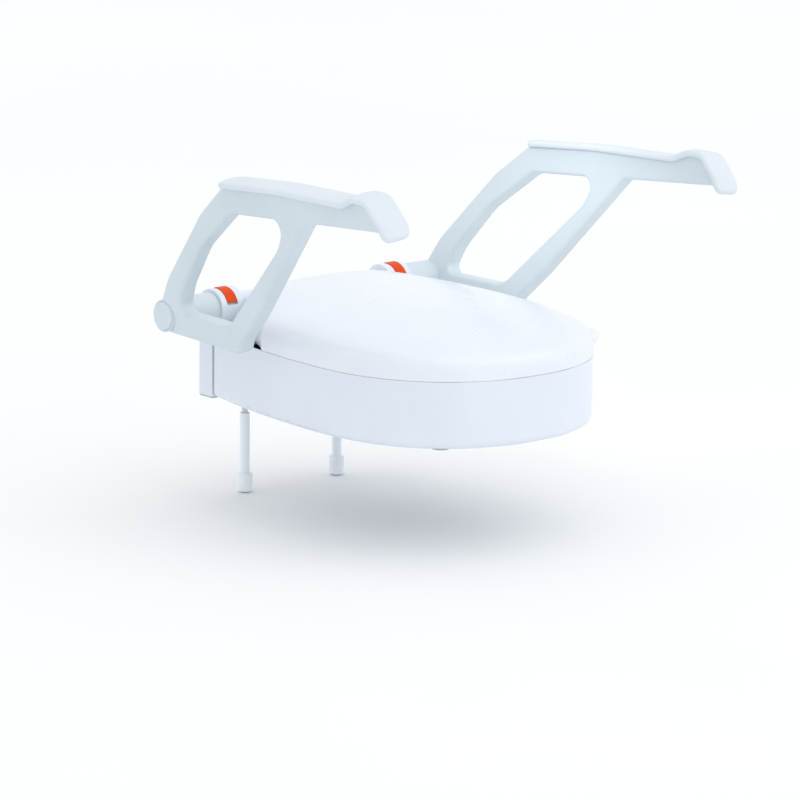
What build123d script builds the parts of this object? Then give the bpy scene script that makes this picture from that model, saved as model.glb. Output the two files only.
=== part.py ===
from build123d import *

# Raised toilet seat with a hinged seat, a hinged lid and two fold-up armrests, all on one rear axle.
#
# Millimetres. +Z is up, -Y is the user's front and +X is the user's left. The origin is midway between
# the two fixing bolts, in the plane of the toilet rim that the seat rests on.

import os
from math import cos, pi, radians, sin

# Driving dimensions
AXLE_Y, AXLE_Z, AXLE_R = -31.0, 116.0, 8.0
RUNNING_GAP = 0.08                  # radial clearance of what turns on the axle
HOLE_SPACING = 155.0                # standard distance between the toilet's two fixing holes

SEAT_WIDTH, SEAT_REAR_WIDTH = 373.0, 317.0
SEAT_REAR_Y, SEAT_WIDEST_Y = -35.5, -279.0
SEAT_FRONT_LENGTH = 199.0           # from the widest station to the front edge
SEAT_BOTTOM_Z = 2.5                 # held off the rim by its buffers
PARTING_Z = 18.0                    # joint of the lower tray and the upper shell
SHOULDER_Z = 86.0                   # where the lid's skirt rests
SEAT_TOP_Z = 97.0
SEAT_INSET = 6.0                    # raised seat surface, inside the lid's skirt
WALL = 4.0

OPENING_Y = -250.0
OPENING_WIDTH, OPENING_LENGTH = 214.0, 274.0
SPLASH_BOTTOM_Z = 1.0

LID_WALL = 3.5
LID_SEAT_GAP = 0.4
LID_ROLL_Z = 110.0                  # top of the lid's rolled rim
LID_PEAK_Z = 146.0
LID_REAR_Y = -51.0
LID_SWEEP_R = 39.0                  # room round the axle for the lid's rear wall as it opens
LID_CORNER = ((121.0, -58.5), (175.0, -156.0))  # line that cuts the lid's rear corners round the collars
TAB_X, TAB_Y, TAB_TURN = 136.0, -404.0, 38.0    # lifting tab at the user's front left
TAB_Z = (98.5, 111.0)

BARREL_R, LID_BARREL_X = 17.0, 94.0
SEAT_KNUCKLE_X = (95.0, 120.0)
COLLAR_R, COLLAR_X = 25.5, (122.0, 158.0)
CHEEK_Y, BEAM_REAR_Y, BEAM_TOP_Z = (-34.0, -5.0), -14.0, 72.0

ARM_X, ARM_THICK = 218.0, 24.0      # plane of the armrest's frame at the hub
ARM_TOE, ARM_LEAN = 3.2, 7.4        # the armrests open outwards to the front and upwards
HUB_R, HUB_OUT = 20.5, 15.0
SLEEVE_R, SPIGOT_R, SPIGOT_X = 21.5, 13.0, 127.0
PAD_WIDTH, PAD_THICK = 41.0, 8.0

LATCH_X = (133.5, 149.5)
LATCH_REAR, LATCH_FRONT = -8.0, 66.0    # the latch's arc, in degrees from the top towards the front

BOLT_R, BOLT_CORE_R, BOLT_LENGTH = 4.0, 3.4, 139.0
NECK_R, NECK_TOP, NUT_R, NUT_HEIGHT = 6.5, -35.0, 10.0, 24.0

# Armrest outline, (forward, up) from the axle, each corner with its radius
WEB = [(-14, 8), (13, 53), (100, 149), (156, 193), (275, 205), (408, 208), (431, 218.5), (456, 218.5),
       (479, 193), (482, 184), (324, 171.5), (205, 36), (164, -5), (156, -21.5), (0, -20.5)]
WEB_RADII = [0, 80, 90, 10, 600, 18, 16, 20, 0, 0, 10, 120, 10, 9, 0]
WINDOW = [(30, 9.5), (44, 43), (92, 103), (166, 159), (277, 167.5), (261, 131), (136, 9.5)]
WINDOW_RADII = [10, 80, 90, 30, 14, 60, 34]
PAD_LINE = [(160, 195.5), (275, 205), (408, 208), (431, 218.5), (456, 218.5), (482, 191), (488, 178.5)]
PAD_RADII = [600, 18, 16, 20, 30]

# Recess in the seat's shoulder outside each rear corner of the lid, as (x, y)
RECESS = [(146, -108), (171, -108), (175, -140), (177, -158), (170, -163), (157, -135)]


def save(shape, name, label=None):
    """Writes one node."""
    solids = shape.solids() if hasattr(shape, "solids") else [shape]
    body = solids[0] if len(solids) == 1 else Compound(children=list(solids))
    body.label = name
    export_step(body, f"parts/{name}.step")


def tube_x(radius, x_low, x_high, y=AXLE_Y, z=AXLE_Z):
    """A round bar along X between two stations."""
    bar = Cylinder(radius, x_high - x_low, rotation=(0, 90, 0))
    return Pos((x_low + x_high) / 2, y, z) * bar


def mirrored(shape):
    return mirror(shape, about=Plane.YZ)


def both(shape):
    """A piece of the left side and its twin on the right."""
    return Compound(children=list(shape.solids()) + list(mirrored(shape).solids()))


def block(x, y, z):
    """A box given by its low and high value on each axis."""
    size = [b - a for a, b in (x, y, z)]
    return Pos(*[(a + b) / 2 for a, b in (x, y, z)]) * Box(*size)


def egg(inset=0.0, rear_y=SEAT_REAR_Y, corner=0.0):
    """Plan of seat and lid: a superellipse at the front, and long arcs that narrow to a straight rear edge."""
    half, length, power = SEAT_WIDTH / 2 - inset, SEAT_FRONT_LENGTH - inset, 2.23
    steps = 6
    front = [(-half, SEAT_WIDEST_Y)]
    for i in range(1, steps):
        t = pi / 2 * i / steps
        front.append((-half * cos(t) ** (2 / power), SEAT_WIDEST_Y - length * sin(t) ** (2 / power)))
    front.append((0, SEAT_WIDEST_Y - length))
    side, reach = (SEAT_WIDTH - SEAT_REAR_WIDTH) / 2, SEAT_REAR_Y - SEAT_WIDEST_Y
    radius = (side**2 + reach**2) / (2 * side) - inset
    rise = rear_y - SEAT_WIDEST_Y
    rear_half = half - (radius - (radius**2 - rise**2) ** 0.5)
    curve = Spline(*front, tangents=[(0, -1), (1, 0)])
    right = TangentArc((half, SEAT_WIDEST_Y), (rear_half, rear_y), tangent=(0, 1))
    back = Line((rear_half, rear_y), (-rear_half, rear_y))
    left = TangentArc((-half, SEAT_WIDEST_Y), (-rear_half, rear_y), tangent=(0, 1))
    face = make_face([curve, mirror(curve, about=Plane.YZ), right, back, left])
    if corner:
        face = fillet(face.vertices().filter_by(lambda v: abs(v.Y - rear_y) < 0.01), corner)
    return face


def slab(face, z_low, z_high):
    """A plan extruded between two heights."""
    return Pos(0, 0, z_low) * extrude(face, z_high - z_low)


def opening(grow=0.0):
    """Plan of the hygiene opening."""
    return Pos(0, OPENING_Y) * Ellipse(OPENING_WIDTH / 2 + grow, OPENING_LENGTH / 2 + grow)


# ---------------------------------------------------------------- seat
def seat_shell():
    """Upper shell: seat ring, outer skirt, inner splash skirt and two hinge knuckles."""
    outer = slab(egg(corner=9.0), PARTING_Z, SHOULDER_Z)
    inside_lid = LID_WALL + 2.0
    raised = slab(egg(SEAT_INSET, LID_REAR_Y - inside_lid), SHOULDER_Z - 1.0, SEAT_TOP_Z)
    raised = fillet(raised.edges().group_by(Axis.Z)[-1], 5.0) - lid_corner(inside_lid + 3.0)
    raised -= tube_x(LID_SWEEP_R, -LATCH_X[1], LATCH_X[1])
    cavity = slab(egg(WALL, SEAT_REAR_Y - WALL, 6.0), PARTING_Z - 1, SHOULDER_Z - WALL)
    upper = slab(egg(SEAT_INSET + WALL, LID_REAR_Y - inside_lid - WALL), PARTING_Z, SEAT_TOP_Z - WALL)
    upper -= tube_x(LID_SWEEP_R + WALL, -LATCH_X[1], LATCH_X[1])
    cavity += upper - lid_corner(inside_lid + 3.0 + WALL)
    cavity -= slab(opening(WALL), 0, SEAT_TOP_Z)
    body = outer + raised - cavity
    body += slab(opening(WALL), SPLASH_BOTTOM_Z, SHOULDER_Z)
    body -= slab(opening(), 0, SEAT_TOP_Z + 5)
    low, high = SEAT_KNUCKLE_X
    for side in (1, -1):
        span = sorted((side * low, side * high))
        foot = block(span, (AXLE_Y - BARREL_R, SEAT_REAR_Y), (SHOULDER_Z - 8, AXLE_Z))
        body = body + tube_x(BARREL_R, *span) + foot
        body -= tube_x(COLLAR_R + 1.2, *sorted((side * (high + 0.7), side * 240)))
    body -= tube_x(AXLE_R + RUNNING_GAP, -high - 1, high + 1)
    body -= both(slab(make_face(Polyline(*RECESS, close=True)), SHOULDER_Z - 2 * WALL, SHOULDER_Z + 1))
    return body - tube_x(BARREL_R + 1.2, -low, low)


def seat_tray():
    """Lower tray that closes the shell: a flat ring with a rolled outer edge and a locating bead."""
    tray = slab(egg(corner=9.0), SEAT_BOTTOM_Z, PARTING_Z)
    tray = fillet(tray.edges().group_by(Axis.Z)[0], 9.0)
    tray -= slab(egg(WALL, SEAT_REAR_Y - WALL, 6.0), SEAT_BOTTOM_Z + WALL, PARTING_Z + 1)
    bead = slab(egg(WALL + 0.2, SEAT_REAR_Y - WALL - 0.2, 6.0), SEAT_BOTTOM_Z + 1, PARTING_Z + 3)
    bead -= slab(egg(WALL + 2.2, SEAT_REAR_Y - WALL - 2.2, 5.0), SEAT_BOTTOM_Z, PARTING_Z + 4)
    return tray + bead - slab(opening(WALL + 0.2), -5, PARTING_Z + 5)


def seat_buffers():
    """Rubber buffers under the tray."""
    places = ((118, -75), (150, -190), (158, -300), (110, -420))
    return both(Compound(children=[Pos(x, y, SEAT_BOTTOM_Z / 2) * Cylinder(11, SEAT_BOTTOM_Z) for x, y in places]))


# ---------------------------------------------------------------- lid
def lid_level(share, inset, drop):
    """One contour of the lid: share 0 is the top of the rolled rim and 1 is the peak by the hinge."""
    half, length, power = SEAT_WIDTH / 2 - inset, SEAT_FRONT_LENGTH - inset, 2.23
    keep_x, keep_y = (1 - share) ** 0.35, (1 - share) ** 0.6
    steps = 10
    points = [(half - 20.0, LID_REAR_Y), (half - 5.0, (LID_REAR_Y + SEAT_WIDEST_Y) / 2)]
    for i in range(steps + 1):
        t = pi * i / steps
        x = half * (1 if cos(t) > 0 else -1) * abs(cos(t)) ** (2 / power)
        points.append((x, SEAT_WIDEST_Y - length * sin(t) ** (2 / power)))
    points += [(-points[1][0], points[1][1]), (-points[0][0], LID_REAR_Y)]
    scaled = [(x * keep_x, LID_REAR_Y + (y - LID_REAR_Y) * keep_y) for x, y in points]
    z = LID_ROLL_Z + (LID_PEAK_Z - LID_ROLL_Z) * share ** 0.6 - drop
    return Pos(0, 0, z) * make_face([Spline(*scaled), Line(scaled[-1], scaled[0])])


def lid_dome(inset, drop):
    """The lid's crowned upper part."""
    return loft([lid_level(s, inset, drop) for s in (0.0, 0.08, 0.3, 0.6, 0.85, 0.97)])


def lid_corner(inset):
    """Room for the collars, cut from the lid's rear corners."""
    (x0, y0), (x1, y1) = LID_CORNER
    face = make_face(Polyline((x0 - inset, 20), (x0 - inset, y0 - inset), (x1 - inset, y1 - 2 * inset),
                              (260, y1 - 2 * inset), (260, 20), close=True))
    return both(slab(face, SHOULDER_Z - 20, LID_PEAK_Z + 20))


def lid_inside():
    """The space under the lid."""
    low = SHOULDER_Z + LID_SEAT_GAP
    room = slab(egg(LID_WALL, LID_REAR_Y - LID_WALL), low - 1, LID_ROLL_Z - LID_WALL)
    room += lid_dome(9.0, LID_WALL) - block((-260, 260), (LID_REAR_Y - LID_WALL, 60), (0, 200))
    return room - lid_corner(LID_WALL)


def lid_shell():
    """Lid: rolled rim, crowned top, lifting tab and hinge barrel."""
    low = SHOULDER_Z + LID_SEAT_GAP
    rim = slab(egg(0, LID_REAR_Y), low, LID_ROLL_Z)
    rim = fillet(rim.edges().group_by(Axis.Z)[-1], 4.8)
    tab = fillet(Box(46, 40, TAB_Z[1] - TAB_Z[0]).edges().filter_by(Axis.Z), 8.0)
    tab = fillet(tab.edges().group_by(Axis.Z)[-1], 4.0)
    body = rim + lid_dome(5.0, 0.0) + Pos(TAB_X, TAB_Y, sum(TAB_Z) / 2) * Rot(0, 0, TAB_TURN) * tab
    body = body - lid_corner(0) - lid_inside()
    arm = block((-LID_BARREL_X, LID_BARREL_X), (LID_REAR_Y - 1, AXLE_Y), (AXLE_Z - 15, AXLE_Z + 15))
    body = body + arm + tube_x(BARREL_R, -LID_BARREL_X, LID_BARREL_X)
    return body - tube_x(AXLE_R + RUNNING_GAP, -LID_BARREL_X - 1, LID_BARREL_X + 1)


def lid_buffers():
    """Rubber buffers inside the lid."""
    places = ((150, -200), (156, -330), (82, -446))
    posts = [Pos(x, y, SEAT_TOP_Z + 12.4) * Cylinder(6, 24) for x, y in places]
    return both(Compound(children=posts)) & lid_inside()


# ---------------------------------------------------------------- armrests
def outline(points, radii, close=True):
    """Straight lines in (forward, up), each corner with its own radius."""
    return FilletPolyline(*[(-p, q) for p, q in points], radius=radii, close=close)


def splay(shape, side):
    """Opens an armrest piece outwards from its hub, which stays on the axle."""
    placed = Pos(ARM_X, AXLE_Y, AXLE_Z) * (Rot(0, ARM_LEAN, 0) * (Rot(0, 0, ARM_TOE) * shape))
    return placed if side > 0 else mirrored(placed)


def upright(face, half):
    """Extrudes an outline in (forward, up) to both sides of the armrest's plane."""
    return extrude(Plane.YZ * face, half, both=True)


def pad_strip():
    """Arm pad: a wide strip that rises and curls down into a grip at its front end."""
    face = make_face(offset(outline(PAD_LINE, PAD_RADII, close=False), PAD_THICK / 2, side=Side.BOTH))
    return upright(face, PAD_WIDTH / 2)


def arm_pad(side):
    """The pad with its rounded ends."""
    length = PAD_LINE[-1][0] + PAD_THICK / 2 - PAD_LINE[0][0] + 5
    plan = Pos(0, -(PAD_LINE[0][0] - 5 + length / 2)) * RectangleRounded(PAD_WIDTH, length, 9.0)
    strip = pad_strip() & slab(plan, 0, 300)
    return splay(strip, side)


def arm_frame(side):
    """Armrest frame: a rounded loop with a window, the hub, the sleeve and the spigot in the collar."""
    web = upright(make_face(outline(WEB, WEB_RADII)), ARM_THICK / 2)
    web -= upright(make_face(outline(WINDOW, WINDOW_RADII)), ARM_THICK)
    web = fillet(web.edges().filter_by(lambda e: abs(abs(e.center().X) - ARM_THICK / 2) < 0.01), 5.0)
    web = splay(web - pad_strip(), 1)
    web -= tube_x(HUB_R - 1, ARM_X - 40, ARM_X + 40)
    face_x = ARM_X + HUB_OUT
    body = tube_x(HUB_R, ARM_X - 14, face_x) + web
    body += tube_x(SLEEVE_R, COLLAR_X[1] + 0.5, ARM_X - 8)
    body += tube_x(SPIGOT_R, SPIGOT_X, COLLAR_X[1] + 2)
    body -= tube_x(HUB_R - 2.2, face_x - 3.5, face_x + 20)
    body -= tube_x(AXLE_R + RUNNING_GAP, SPIGOT_X - 1, face_x - 6)
    body -= tube_x(SPIGOT_R + 1, 138.0, 145.0) - tube_x(SPIGOT_R - 2.5, 137.0, 146.0)
    return body if side > 0 else mirrored(body)


def arm_cap(side):
    """Domed cap in the end of the hub."""
    face_x = ARM_X + HUB_OUT
    cap = tube_x(HUB_R - 2.6, face_x - 3.4, face_x + 1.2)
    cap = fillet(cap.edges().group_by(Axis.X)[-1], 1.0)
    return cap if side > 0 else mirrored(cap)


# ---------------------------------------------------------------- console
def sector(r_low, r_high, from_top, to_top, x_low, x_high):
    """Part of a ring round the axle. Angles are from the top, positive towards the front."""
    ring = tube_x(r_high, x_low, x_high) - tube_x(r_low, x_low - 1, x_high + 1)
    middle = (from_top + to_top) / 2
    fan = [(0, 0)] + [(3 * r_high * sin(radians(a)), 3 * r_high * cos(radians(a)))
                      for a in (from_top, middle, to_top)]
    face = make_face(Polyline(*[(-y, z) for y, z in fan], close=True))
    return ring & Pos((x_low + x_high) / 2, AXLE_Y, AXLE_Z) * upright(face, (x_high - x_low) / 2)


def latch_prong(gap=0.0):
    """Radial bar at the middle of the latch's arc."""
    r_low, r_high = SPIGOT_R - 2.0, COLLAR_R - 2.0
    bar = Pos(0, 0, (r_low + r_high) / 2) * Box(5.6 + 2 * gap, 6 + 2 * gap, r_high - r_low)
    middle = (LATCH_REAR + LATCH_FRONT) / 2
    return Pos(sum(LATCH_X) / 2, AXLE_Y, AXLE_Z) * (Rot(middle, 0, 0) * bar)


def latch(side):
    """Latch that locks the armrest's spigot in the collar."""
    shell = sector(COLLAR_R - 4.0, COLLAR_R + 0.9, LATCH_REAR, LATCH_FRONT, *LATCH_X)
    body = shell + latch_prong()
    return body if side > 0 else mirrored(body)


def console():
    """Fixed rear console: two cheeks with bearing collars, joined by a low cross beam."""
    low_y, high_y = CHEEK_Y
    profile = make_face(Polyline((low_y, 6.0), (high_y, 6.0), (high_y - 0.5, AXLE_Z), (low_y, AXLE_Z), close=True))
    middle = sum(COLLAR_X) / 2
    cheek = Pos(middle, 0, 0) * upright(profile, COLLAR_X[1] - middle)
    cheek = fillet(cheek.edges().filter_by(lambda e: abs(e.center().Y - high_y) < 1 and e.length > 80), 4.0)
    cheek += tube_x(COLLAR_R, *COLLAR_X)
    cheek -= tube_x(SPIGOT_R + RUNNING_GAP, SPIGOT_X - 0.5, COLLAR_X[1] + 1)
    cheek -= tube_x(AXLE_R, COLLAR_X[0] - 1, COLLAR_X[1])
    cheek -= sector(COLLAR_R - 4.3, COLLAR_R + 6, LATCH_REAR - 1, LATCH_FRONT + 7,
                    LATCH_X[0] - 0.35, LATCH_X[1] + 0.35)
    cheek -= latch_prong(0.35)
    beam = block((-COLLAR_X[0] - 1, COLLAR_X[0] + 1), (low_y, BEAM_REAR_Y), (6.0, BEAM_TOP_Z))
    beam = fillet(beam.edges().filter_by(Axis.X).group_by(Axis.Z)[-1], 5.0)
    inside = block((-COLLAR_X[0] + 2, COLLAR_X[0] - 2), (low_y + WALL, BEAM_REAR_Y - WALL),
                   (0, BEAM_TOP_Z - WALL))
    body = beam + cheek + mirrored(cheek) - inside
    return body - screws()


def base_plate():
    """Steel plate under the console, with a slot for each fixing bolt."""
    plate = block((-COLLAR_X[1], COLLAR_X[1]), CHEEK_Y, (2.0, 6.0)) + block((-104, 104), (CHEEK_Y[0], 24), (2.0, 6.0))
    plate = fillet(plate.edges().filter_by(Axis.Z), 4.0)
    for x in (-HOLE_SPACING / 2, HOLE_SPACING / 2):
        plate -= Pos(x, 0, 0) * extrude(SlotOverall(30, 2 * BOLT_R + 0.6), 10)
    return plate - screws()


def screws():
    """Countersunk screws that hold the console on its plate."""
    one = Pos(0, 0, 12.0) * Cylinder(2.4, 20.0) + Pos(0, 0, 3.1) * Cone(4.8, 2.4, 2.2)
    return Compound(children=[s for x in (-146, -132, 132, 146) for s in (Pos(x, -20, 0) * one).solids()])


def gasket():
    """Rubber mat between the plate and the rim."""
    mat = block((-COLLAR_X[1] + 2, COLLAR_X[1] - 2), (CHEEK_Y[0] + 2, CHEEK_Y[1] - 2), (0, 2.0))
    mat += block((-102, 102), (CHEEK_Y[0] + 2, 22), (0, 2.0))
    for x in (-HOLE_SPACING / 2, HOLE_SPACING / 2):
        mat -= Pos(x, 0, -1) * extrude(SlotOverall(34, 2 * BOLT_R + 8), 10)
    return mat


def at_bolts(piece):
    spots = (-HOLE_SPACING / 2, HOLE_SPACING / 2)
    return Compound(children=[s for x in spots for s in (Pos(x, 0, 0) * piece).solids()])


def bolts():
    """Hexagon bolts, thickest between the plate and the nut."""
    core = Pos(0, 0, (8.0 - BOLT_LENGTH + 4) / 2) * Cylinder(BOLT_CORE_R, 8.0 + BOLT_LENGTH - 4)
    shank = Pos(0, 0, (NECK_TOP + 1.9) / 2) * Cylinder(BOLT_R, 1.5 - NECK_TOP)
    return at_bolts(core + shank + Pos(0, 0, 7.6) * extrude(RegularPolygon(7.5, 6), 5.3))


def washers():
    return at_bolts(Pos(0, 0, 6.8) * (Cylinder(12, 1.6) - Cylinder(BOLT_CORE_R + 0.1, 4)))


def nuts():
    neck = Pos(0, 0, (NECK_TOP - BOLT_LENGTH) / 2) * Cylinder(NECK_R, NECK_TOP + BOLT_LENGTH)
    knob = Pos(0, 0, -BOLT_LENGTH + NUT_HEIGHT / 2) * Cylinder(NUT_R, NUT_HEIGHT)
    knob = chamfer(knob.edges().group_by(Axis.Z)[0], 1.5)
    bore = Pos(0, 0, -BOLT_LENGTH / 2 + 3) * Cylinder(BOLT_CORE_R, BOLT_LENGTH)
    return at_bolts(neck + knob - bore)


def main():
    os.makedirs("parts", exist_ok=True)
    save(seat_shell(), "seat_shell")
    save(seat_tray(), "seat_tray")
    save(seat_buffers(), "seat_buffers")
    save(lid_shell(), "lid_shell")
    save(lid_buffers(), "lid_buffers")
    for side, name in ((1, "left"), (-1, "right")):
        save(arm_frame(side), f"armrest_{name}_frame")
        save(arm_pad(side), f"armrest_{name}_pad")
        save(arm_cap(side), f"armrest_{name}_cap")
        save(latch(side), f"latch_{name}")
    save(console(), "console")
    save(base_plate(), "base_plate")
    save(gasket(), "gasket")
    save(screws(), "plate_screws")
    save(bolts(), "fixing_bolts")
    save(washers(), "fixing_washers")
    save(nuts(), "fixing_nuts")
    save(tube_x(AXLE_R, -ARM_X - HUB_OUT + 9, ARM_X + HUB_OUT - 9), "axle")


main()
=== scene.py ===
import math

import bmesh
import bpy
from mathutils import Matrix, Vector


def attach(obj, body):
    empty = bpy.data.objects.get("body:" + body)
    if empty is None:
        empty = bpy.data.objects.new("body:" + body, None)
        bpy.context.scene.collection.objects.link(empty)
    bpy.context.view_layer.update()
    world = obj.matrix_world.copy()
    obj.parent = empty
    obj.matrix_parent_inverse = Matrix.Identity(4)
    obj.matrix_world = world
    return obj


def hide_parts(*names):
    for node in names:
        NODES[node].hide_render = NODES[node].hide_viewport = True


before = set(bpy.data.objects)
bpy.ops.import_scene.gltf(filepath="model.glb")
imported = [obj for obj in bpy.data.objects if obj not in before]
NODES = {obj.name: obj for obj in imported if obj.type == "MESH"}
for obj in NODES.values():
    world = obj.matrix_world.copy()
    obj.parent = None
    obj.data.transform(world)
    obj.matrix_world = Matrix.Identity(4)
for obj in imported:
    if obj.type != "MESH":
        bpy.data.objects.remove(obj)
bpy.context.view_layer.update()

MM = 0.001

# Axle, lid and armrest placing, in metres and radians
AXLE = Vector((0.0, -0.031, 0.116))
WIDEST_Y, FRONT_LENGTH, HALF_WIDTH, REAR_HALF = -0.279, 0.199, 0.1865, 0.1585
SEAT_REAR_Y, LID_REAR_Y = -0.0355, -0.051
LID_LOW, LID_ROLL, LID_PEAK = 0.0861, 0.110, 0.146
LID_CORNER = ((0.121, -0.0585), (0.175, -0.156))
LID_MIDDLE = (0.0, -0.235)          # the rings of the lid's mesh shrink towards this point
SEARCH_STEPS, SEARCH_REACH = 26, 0.4
ARM_X, ARM_TOE, ARM_LEAN = 0.218, math.radians(3.2), math.radians(7.4)
# Arm pad in the armrest's own frame, forward and up, in millimetres
PAD_LINE = ((160, 195.5), (275, 205), (408, 208), (431, 218.5), (456, 218.5), (482, 191), (488, 178.5))
PAD_RADII = (600, 18, 16, 20, 30)
PAD_HALF, PAD_THICK, PAD_CROWN = 20.5, 8.0, 1.4
# Floor and camera, in metres, millimetres (lens) and degrees
FLOOR_Z, FLOOR_REACH = -0.1405, 30.0
CAMERA_PLACE, CAMERA_LENS, SENSOR_WIDTH = (-3.2540, -3.9892, 1.1171), 181.94, 36.0
CAMERA_ANGLES = (-40.78, 12.54, 0.68)


# ---------------------------------------------------------------- materials
PLASTIC_IOR, LATCH_IOR, COAT_ROUGHNESS = 1.49, 1.22, 0.2
GRAIN_SCALE, GRAIN_DEPTH = 2600.0, 0.0001       # fine moulded grain
WAVE_SCALE, WAVE_DEPTH = 18.0, 0.0006           # slow unevenness of large mouldings


class Nodes:
    """A material being built: short calls for the nodes and links it needs."""

    def __init__(self, name):
        self.material = bpy.data.materials.new(name)
        self.material.use_nodes = True
        self.tree = self.material.node_tree
        self.shader = self.tree.nodes["Principled BSDF"]
        self.place = self.add("ShaderNodeTexCoord").outputs["Object"]

    def add(self, kind, **values):
        node = self.tree.nodes.new(kind)
        for key, value in values.items():
            setattr(node, key, value)
        return node

    def link(self, source, target):
        self.tree.links.new(source, target)

    def noise(self, scale, detail=4.0, rough=0.55, stretch=None):
        """Noise over the object's own space, stretched along an axis if wanted."""
        source = self.place
        if stretch:
            mapping = self.add("ShaderNodeMapping")
            mapping.inputs["Scale"].default_value = stretch
            self.link(source, mapping.inputs["Vector"])
            source = mapping.outputs["Vector"]
        node = self.add("ShaderNodeTexNoise")
        node.inputs["Scale"].default_value = scale
        node.inputs["Detail"].default_value = detail
        node.inputs["Roughness"].default_value = rough
        self.link(source, node.inputs["Vector"])
        return node.outputs["Fac"]

    def ramp(self, source, low, high, start=0.3, end=0.7):
        """Maps a value to a range of greys or colours."""
        node = self.add("ShaderNodeValToRGB")
        for element, position, value in zip(node.color_ramp.elements, (start, end), (low, high)):
            element.position = position
            element.color = value if isinstance(value, tuple) else (value, value, value, 1.0)
        self.link(source, node.inputs["Fac"])
        return node.outputs["Color"]

    def bump(self, height, strength, distance, base=None):
        node = self.add("ShaderNodeBump")
        node.inputs["Strength"].default_value = strength
        node.inputs["Distance"].default_value = distance
        self.link(height, node.inputs["Height"])
        if base:
            self.link(base, node.inputs["Normal"])
        return node.outputs["Normal"]


def tint(colour, factor):
    return tuple(min(1.0, c * factor) for c in colour) + (1.0,)


def plastic(name, colour, gloss, grain, coat=0.0, spread=0.02, wave=0.0):
    """Moulded plastic: faint colour drift, uneven gloss, wiping marks and a fine moulded grain."""
    m = Nodes(name)
    m.link(m.ramp(m.noise(9.0, 3.0), tint(colour, 1.0 - spread), tint(colour, 1.0 + spread)),
           m.shader.inputs["Base Color"])
    cloud = m.ramp(m.noise(14.0, 6.0, 0.6), gloss * 0.86, gloss * 1.14)
    wipes = m.ramp(m.noise(60.0, 5.0, 0.7, (1.0, 0.12, 1.0)), 0.98, 1.02, 0.3, 0.7)
    mix = m.add("ShaderNodeMixRGB", blend_type="MULTIPLY")
    mix.inputs["Fac"].default_value = 1.0
    m.link(cloud, mix.inputs["Color1"])
    m.link(wipes, mix.inputs["Color2"])
    m.link(mix.outputs["Color"], m.shader.inputs["Roughness"])
    fine = m.bump(m.noise(GRAIN_SCALE, 2.0), grain, GRAIN_DEPTH)
    if wave:
        fine = m.bump(m.noise(WAVE_SCALE, 1.0), wave, WAVE_DEPTH, fine)
    m.link(fine, m.shader.inputs["Normal"])
    m.shader.inputs["IOR"].default_value = PLASTIC_IOR
    m.shader.inputs["Coat Weight"].default_value = coat
    m.shader.inputs["Coat Roughness"].default_value = COAT_ROUGHNESS
    return m.material


def metal(name, colour, gloss):
    """Steel with a fine drawn grain and dull patches."""
    m = Nodes(name)
    m.link(m.ramp(m.noise(60.0, 5.0), tint(colour, 0.86), tint(colour, 1.08)), m.shader.inputs["Base Color"])
    m.link(m.ramp(m.noise(120.0, 6.0, 0.7, (0.06, 1.0, 1.0)), gloss * 0.75, gloss * 1.3),
           m.shader.inputs["Roughness"])
    m.link(m.bump(m.noise(900.0, 3.0, 0.6, (0.04, 1.0, 1.0)), 0.25, 0.0001), m.shader.inputs["Normal"])
    m.shader.inputs["Metallic"].default_value = 1.0
    return m.material


def rubber(name, colour):
    """Soft grey rubber with a coarse matte skin."""
    m = Nodes(name)
    m.link(m.ramp(m.noise(50.0, 5.0), tint(colour, 0.88), tint(colour, 1.06)), m.shader.inputs["Base Color"])
    m.link(m.ramp(m.noise(90.0, 4.0), 0.62, 0.82), m.shader.inputs["Roughness"])
    m.link(m.bump(m.noise(1500.0, 4.0), 0.35, 0.0002), m.shader.inputs["Normal"])
    return m.material


WHITE = plastic("white_plastic", (0.74, 0.80, 0.875), 0.20, 0.05, coat=0.3, wave=0.05)
LID = plastic("lid_plastic", (0.80, 0.84, 0.893), 0.30, 0.03, coat=0.2, wave=0.03)
GREY = plastic("armrest_plastic", (0.63, 0.71, 0.755), 0.40, 0.22, spread=0.03)
PAD = plastic("pad_plastic", (0.70, 0.765, 0.815), 0.46, 0.30, spread=0.03)
ORANGE = plastic("latch_plastic", (0.76, 0.070, 0.004), 0.42, 0.10, spread=0.06)
ORANGE.node_tree.nodes["Principled BSDF"].inputs["IOR"].default_value = LATCH_IOR
# The nuts are the same white plastic, painted brighter than white_plastic: painted light that makes up for
# the shade under the seat.
NUT_PAINTED_BRIGHT = plastic("nut_plastic_painted_bright", (0.88, 0.93, 0.98), 0.38, 0.15)
STEEL = metal("steel", (0.62, 0.63, 0.65), 0.32)
RUBBER = rubber("rubber", (0.42, 0.43, 0.45))


def dress(node, material):
    """Gives every material slot of a CAD piece the same material."""
    slots = NODES[node].data.materials
    for i in range(len(slots)):
        slots[i] = material
    if not len(slots):
        slots.append(material)


for node in ("console", "base_plate", "seat_shell", "seat_tray"):
    dress(node, WHITE)
for node in ("plate_screws", "fixing_bolts", "fixing_washers", "axle"):
    dress(node, STEEL)
for node in ("gasket", "seat_buffers", "lid_buffers"):
    dress(node, RUBBER)
dress("fixing_nuts", NUT_PAINTED_BRIGHT)
for side in ("left", "right"):
    dress(f"armrest_{side}_frame", GREY)
    dress(f"armrest_{side}_cap", GREY)
    dress(f"latch_{side}", ORANGE)


# ---------------------------------------------------------------- mesh helpers
def piece(name, bm, body, material, smooth_angle=35.0):
    """Makes an object of a bmesh, smooth shaded, riding on its body."""
    bmesh.ops.recalc_face_normals(bm, faces=bm.faces)
    mesh = bpy.data.meshes.new(name)
    bm.to_mesh(mesh)
    bm.free()
    for polygon in mesh.polygons:
        polygon.use_smooth = True
    mesh.materials.append(material)
    obj = bpy.data.objects.new(name, mesh)
    bpy.context.scene.collection.objects.link(obj)
    mesh.set_sharp_from_angle(angle=math.radians(smooth_angle))
    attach(obj, body)
    return obj


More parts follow.
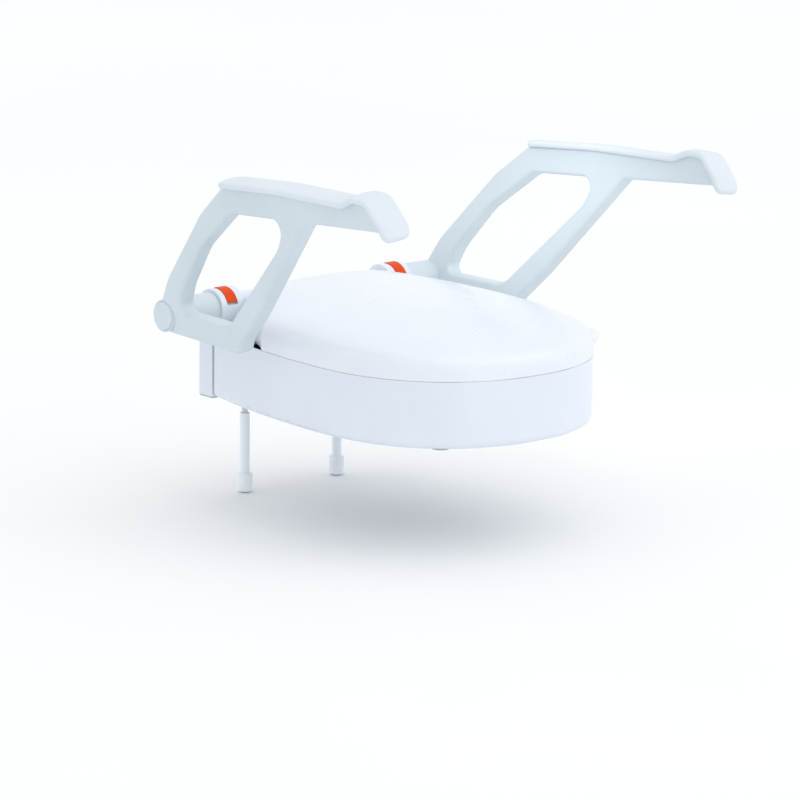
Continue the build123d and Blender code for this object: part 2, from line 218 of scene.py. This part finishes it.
def grid(bm, rows, close_rows=False):
    """Joins rows of vertices with quads. Each row is a closed ring."""
    count = len(rows[0])
    pairs = list(zip(rows, rows[1:])) + ([(rows[-1], rows[0])] if close_rows else [])
    for low, high in pairs:
        for i in range(count):
            j = (i + 1) % count
            bm.faces.new((low[i], low[j], high[j], high[i]))


# ---------------------------------------------------------------- lid
def egg_half_width(y):
    """Half the width of seat and lid at a station."""
    if y < WIDEST_Y:
        run = min(1.0, (WIDEST_Y - y) / FRONT_LENGTH)
        return HALF_WIDTH * max(0.0, 1.0 - run ** 2.23) ** (1 / 2.23)
    side, reach = HALF_WIDTH - REAR_HALF, SEAT_REAR_Y - WIDEST_Y
    radius = (side ** 2 + reach ** 2) / (2 * side)
    return HALF_WIDTH - (radius - math.sqrt(radius ** 2 - (y - WIDEST_Y) ** 2))


def corner_x(y):
    """Half the lid's width behind the cut of its rear corners."""
    (x0, y0), (x1, y1) = LID_CORNER
    if y >= y0:
        return x0
    return x0 + (x1 - x0) * (y0 - y) / (y0 - y1)


def dome_height(x, y):
    """The crowned surface: each contour is the outline shrunk towards the middle of the rear edge."""
    low, high = 0.0, 0.9995
    for _ in range(22):
        share = (low + high) / 2
        keep_x, keep_y = (1 - share) ** 0.35, (1 - share) ** 0.6
        station = LID_REAR_Y + (y - LID_REAR_Y) / keep_y
        inside = station > WIDEST_Y - FRONT_LENGTH and abs(x) / keep_x < egg_half_width(station)
        if inside:
            low = share
        else:
            high = share
    share = (low + high) / 2
    return LID_ROLL + (LID_PEAK - LID_ROLL) * share ** 0.6


def lid_outline(count):
    """Points of the lid's plan, evenly spaced by angle round a middle point, corners rounded."""
    middle = Vector(LID_MIDDLE)
    edge = []
    for i in range(count):
        a = 2 * math.pi * i / count
        d = Vector((math.sin(a), -math.cos(a)))
        low, high = 0.0, SEARCH_REACH
        for _ in range(SEARCH_STEPS):
            r = (low + high) / 2
            p = middle + d * r
            inside = (WIDEST_Y - FRONT_LENGTH < p.y < LID_REAR_Y and abs(p.x) < egg_half_width(p.y)
                      and (p.y < LID_CORNER[1][1] or abs(p.x) < corner_x(p.y)))
            low, high = (r, high) if inside else (low, r)
        edge.append(middle + d * low)
    for _ in range(3):
        edge = [(edge[i - 1] + 2 * edge[i] + edge[(i + 1) % count]) / 4 for i in range(count)]
    return middle, edge


def build_lid():
    """The lid as a closed shell: bottom edge, rolled rim, crowned top and the same again inside."""
    count, roll, wall = 288, 0.0115, 0.0035
    middle, edge = lid_outline(count)
    bm = bmesh.new()

    def ring(inset, drop, fixed_z=None):
        row = []
        for i, e in enumerate(edge):
            tangent = (edge[(i + 1) % count] - edge[i - 1]).normalized()
            normal = Vector((-tangent.y, tangent.x))
            p = e + normal * inset
            z = fixed_z if fixed_z is not None else dome_height(p.x, p.y) - drop
            row.append((p, z))
        return row

    def rounded_ring(angle, shrink=0.0, radius=roll):
        """Part of the rolled edge: angle 0 is the vertical wall and 90 the top."""
        inset = radius * (1 - math.cos(angle)) + shrink
        return ring(inset, radius * (1 - math.sin(angle)) + shrink)

    def verts(row):
        return [bm.verts.new((p.x, p.y, z)) for p, z in row]

    edge_break = 0.0008
    rows = [verts(ring(wall, 0, LID_LOW)), verts(ring(edge_break, 0, LID_LOW)),
            verts(ring(0.0, 0, LID_LOW + edge_break))]
    rows += [verts(rounded_ring(math.radians(a))) for a in (0, 12, 25, 38, 52, 65, 78, 90)]
    last = ring(roll, 0)
    spans = [0.985, 0.965, 0.93, 0.88, 0.82, 0.75, 0.67, 0.58, 0.48, 0.38, 0.28, 0.18, 0.09]
    for keep in spans:
        row = []
        for p, _ in last:
            q = middle + (p - middle) * keep
            row.append((q, dome_height(q.x, q.y)))
        rows.append(verts(row))
    grid(bm, rows)
    peak = bm.verts.new((middle.x, middle.y, dome_height(middle.x, middle.y)))
    top = rows[-1]
    for i in range(count):
        bm.faces.new((top[i], top[(i + 1) % count], peak))
    inner = [rows[0]]
    inner += [verts(rounded_ring(math.radians(a), wall, roll - wall)) for a in (0, 30, 60, 90)]
    last = ring(roll, wall)
    for keep in spans[1::2]:
        row = []
        for p, _ in last:
            q = middle + (p - middle) * keep
            row.append((q, dome_height(q.x, q.y) - wall))
        inner.append(verts(row))
    grid(bm, inner)
    peak = bm.verts.new((middle.x, middle.y, dome_height(middle.x, middle.y) - wall))
    top = inner[-1]
    for i in range(count):
        bm.faces.new((top[i], top[(i + 1) % count], peak))
    lid = piece("lid_cover", bm, "lid", LID, 40.0)
    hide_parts("lid_shell")
    return lid


def build_tab():
    """The lifting tab at the rim: a tongue with a rounded plan, a soft top edge and a small lower one."""
    bm = bmesh.new()
    centre, turn = Vector((0.1422, -0.4119)), math.radians(38.0)
    half, reach, corner, z_low, z_high, soft = 0.023, 0.010, 0.009, 0.0985, 0.1112, 0.0045
    plan = []
    for sx, sy, start in ((1, -1, -90), (1, 1, 0), (-1, 1, 90), (-1, -1, 180)):
        for k in range(9):
            a = math.radians(start + 90 * k / 8)
            plan.append(Vector((sx * (half - corner) + corner * math.cos(a), sy * (reach - corner)
                                + corner * math.sin(a))))
    profile = [(0.004, z_low), (0.0012, z_low + 0.0004), (0.0, z_low + 0.0016)]
    for k in range(8):
        a = math.pi / 2 * k / 7
        profile.append((soft * (1 - math.cos(a)), z_high - soft * (1 - math.sin(a))))
    rows = []
    for inset, z in profile:
        row = []
        for p in plan:
            shrunk = Vector((p.x * (1 - inset / half), p.y * (1 - inset / reach)))
            q = Vector((shrunk.x * math.cos(turn) - shrunk.y * math.sin(turn),
                        shrunk.x * math.sin(turn) + shrunk.y * math.cos(turn))) + centre
            row.append(bm.verts.new((q.x, q.y, z)))
        rows.append(row)
    grid(bm, rows)
    bm.faces.new(rows[0])
    bm.faces.new(rows[-1])
    return piece("lid_tab", bm, "lid", LID)


def build_barrel():
    """Hinge barrel across the lid's rear edge, with the web that joins it to the lid."""
    bm = bmesh.new()
    reach, radius, sides = 0.094, 0.017, 64
    stations = [(-reach, 0.0081), (-reach, radius - 0.0012), (-reach + 0.0004, radius - 0.0004),
                (-reach + 0.0014, radius)]
    stations += [(-x, r) for x, r in reversed(stations)]
    rows = []
    for x, r in stations:
        rows.append([bm.verts.new((x, AXLE.y + r * math.cos(2 * math.pi * i / sides),
                                   AXLE.z + r * math.sin(2 * math.pi * i / sides))) for i in range(sides)])
    grid(bm, rows, close_rows=True)
    section = [(-0.0518, 0.0995), (-0.0518, 0.1315), (-0.045, 0.1325), (-0.034, 0.1328), (-0.033, 0.126),
               (-0.0405, 0.1215), (-0.0405, 0.1105), (-0.033, 0.106), (-0.034, 0.0992)]
    ends = []
    for x in (-reach + 0.001, reach - 0.001):
        ends.append([bm.verts.new((x, y, z)) for y, z in section])
    grid(bm, ends)
    bm.faces.new(ends[0])
    bm.faces.new(ends[1])
    return piece("lid_barrel", bm, "lid", LID)


# ---------------------------------------------------------------- arm pads
def fillet_path(points, radii, step=2.0):
    """Points and directions along straight runs joined by arcs, in (forward, up) millimetres."""
    points = [Vector(p) for p in points]
    out = [points[0]]
    for i in range(1, len(points) - 1):
        before, at, after = points[i - 1], points[i], points[i + 1]
        u, v = (before - at).normalized(), (after - at).normalized()
        half = math.acos(max(-1.0, min(1.0, u.dot(v)))) / 2
        radius = radii[i - 1]
        reach = radius / math.tan(half)
        centre = at + (u + v).normalized() * (radius / math.sin(half))
        start, end = at + u * reach, at + v * reach
        a0 = math.atan2(start.y - centre.y, start.x - centre.x)
        a1 = math.atan2(end.y - centre.y, end.x - centre.x)
        turn = (a1 - a0 + math.pi) % (2 * math.pi) - math.pi
        steps = max(3, int(abs(turn) * radius / step))
        for k in range(steps + 1):
            a = a0 + turn * k / steps
            out.append(centre + Vector((math.cos(a), math.sin(a))) * radius)
    out.append(points[-1])
    path = [out[0]]
    for a, b in zip(out, out[1:]):
        steps = max(1, int((b - a).length / (3 * step)))
        path += [a.lerp(b, k / steps) for k in range(1, steps + 1) if (b - a).length > 0.01]
    return path


def splayed(offset, forward, up, side):
    """A point of an armrest, given in millimetres in the armrest's own frame."""
    p = Vector((offset, -forward, up)) * MM
    p = Matrix.Rotation(ARM_LEAN, 3, "Y") @ (Matrix.Rotation(ARM_TOE, 3, "Z") @ p)
    p = Vector((ARM_X, AXLE.y, AXLE.z)) + p
    return Vector((side * p.x, p.y, p.z))


def build_pad(side, name):
    """Arm pad with a crowned top, soft edges and a grip that curls down at the front."""
    path = fillet_path(PAD_LINE, PAD_RADII)
    cap = PAD_THICK / 2
    path[0] += (path[0] - path[1]).normalized() * cap
    path[-1] += (path[-1] - path[-2]).normalized() * cap
    lengths = [0.0]
    for a, b in zip(path, path[1:]):
        lengths.append(lengths[-1] + (b - a).length)
    total = lengths[-1]
    rear_round, tip_round, tops = 9.0, 12.0, 14

    def at(s):
        """Point and upward normal at a distance along the path."""
        i = max(k for k in range(len(path) - 1) if lengths[k] <= s or k == 0)
        share = (s - lengths[i]) / (lengths[i + 1] - lengths[i])
        along = (path[min(i + 2, len(path) - 1)] - path[max(i - 1, 0)]).normalized()
        return path[i].lerp(path[i + 1], share), Vector((-along.y, along.x))

    def arc(distance, radius):
        """How far a quarter circle has come in, at a distance from its end."""
        return radius - math.sqrt(max(0.0, radius ** 2 - max(0.0, radius - distance) ** 2))

    def section(s):
        from_rear, from_tip = s, total - s
        width = PAD_HALF - arc(from_rear, rear_round) - arc(from_tip, tip_round)
        flat = 1 - (arc(from_rear, cap) + arc(from_tip, cap)) / cap
        edge = cap * max(0.04, flat)
        width = max(width, edge + 1.0)
        ring = []
        for k in range(tops + 1):
            x = -1 + 2 * k / tops
            ring.append((x * (width - edge), edge + PAD_CROWN * flat * (1 - x * x)))
        for k in range(1, 8):
            a = math.pi / 2 - math.pi * k / 8
            ring.append((width - edge + edge * math.cos(a), edge * math.sin(a)))
        for k in range(tops + 1):
            ring.append(((1 - 2 * k / tops) * (width - edge), -edge))
        for k in range(1, 8):
            a = -math.pi / 2 - math.pi * k / 8
            ring.append((-(width - edge) + edge * math.cos(a), edge * math.sin(a)))
        p, normal = at(s)
        return [bm.verts.new(splayed(x, p.x + normal.x * t, p.y + normal.y * t, side)) for x, t in ring]

    bm = bmesh.new()
    near = [tip_round * (1 - math.cos(math.pi / 2 * k / 12)) for k in range(13)]
    stations = near + [s for s in lengths if tip_round + 1 < s < total - tip_round - 1]
    stations += [total - s for s in reversed(near)]
    rows = [section(s) for s in stations]
    grid(bm, rows)
    bm.faces.new(rows[0])
    bm.faces.new(rows[-1])
    pad = piece(f"armrest_{name}_grip_pad", bm, f"armrest_{name}", PAD, 50.0)
    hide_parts(f"armrest_{name}_pad")
    return pad


build_lid()
build_tab()
build_barrel()
build_pad(1, "left")
build_pad(-1, "right")


# ---------------------------------------------------------------- floor, light and camera
def build_floor():
    """A pale studio floor just below the bolts' nuts."""
    bm = bmesh.new()
    bm.faces.new([bm.verts.new((x * FLOOR_REACH, y * FLOOR_REACH, FLOOR_Z))
                  for x, y in ((-1, -1), (1, -1), (1, 1), (-1, 1))])
    mesh = bpy.data.meshes.new("floor")
    bm.to_mesh(mesh)
    bm.free()
    m = Nodes("floor")
    m.link(m.ramp(m.noise(0.6, 3.0), (0.90, 0.905, 0.91, 1.0), (0.93, 0.935, 0.94, 1.0)),
           m.shader.inputs["Base Color"])
    m.link(m.ramp(m.noise(6.0, 4.0), 0.55, 0.7), m.shader.inputs["Roughness"])
    m.shader.inputs["Specular IOR Level"].default_value = 0.2
    mesh.materials.append(m.material)
    floor = bpy.data.objects.new("floor", mesh)
    bpy.context.scene.collection.objects.link(floor)


def area_light(name, place, target, size, power, colour=(1.0, 1.0, 1.0)):
    light = bpy.data.lights.new(name, "AREA")
    light.shape = "RECTANGLE"
    light.size, light.size_y = size
    light.energy = power
    light.color = colour
    obj = bpy.data.objects.new(name, light)
    bpy.context.scene.collection.objects.link(obj)
    obj.location = place
    obj.rotation_euler = (Vector(target) - Vector(place)).to_track_quat("-Z", "Y").to_euler()
    return obj


def build_light():
    """An even studio sky, a soft sun, a large light at the front left and a small one between the arms."""
    world = bpy.data.worlds.new("studio")
    bpy.context.scene.world = world
    world.use_nodes = True
    back = world.node_tree.nodes["Background"]
    back.inputs["Color"].default_value = (0.97, 0.985, 1.0, 1.0)
    back.inputs["Strength"].default_value = 0.98
    seat_middle = (0.0, -0.25, 0.1)
    area_light("front_left", (1.8, -2.2, 1.6), seat_middle, (1.4, 1.8), 3.5)
    inner = area_light("between_arms", (-0.12, -0.55, 0.50), (0.22, -0.22, 0.24), (0.15, 0.15), 0.085)
    inner.data.spread = math.radians(50.0)
    inner.visible_camera = False
    sun = bpy.data.objects.new("soft_sun", bpy.data.lights.new("soft_sun", "SUN"))
    sun.data.energy, sun.data.angle = 0.45, math.radians(70.0)
    sun.rotation_euler = (math.radians(28.0), math.radians(14.0), 0.0)
    bpy.context.scene.collection.objects.link(sun)


def build_camera():
    """Looks from the user's right front, a little above the seat, with a long lens."""
    azimuth, elevation, roll = (math.radians(a) for a in CAMERA_ANGLES)
    back = Vector((math.sin(azimuth) * math.cos(elevation), -math.cos(azimuth) * math.cos(elevation),
                   math.sin(elevation)))
    level = Vector((math.cos(azimuth), math.sin(azimuth), 0.0))
    up = back.cross(level)
    right = level * math.cos(roll) + up * math.sin(roll)
    up = up * math.cos(roll) - level * math.sin(roll)
    camera = bpy.data.objects.new("camera", bpy.data.cameras.new("camera"))
    bpy.context.scene.collection.objects.link(camera)
    camera.data.sensor_width, camera.data.lens = SENSOR_WIDTH, CAMERA_LENS
    camera.data.clip_start, camera.data.clip_end = 0.1, 100.0
    turned = Matrix((right, up, back)).transposed().to_4x4()
    camera.matrix_world = Matrix.Translation(Vector(CAMERA_PLACE)) @ turned
    bpy.context.scene.camera = camera


build_floor()
build_light()
build_camera()
bpy.context.scene.view_settings.view_transform = "Standard"
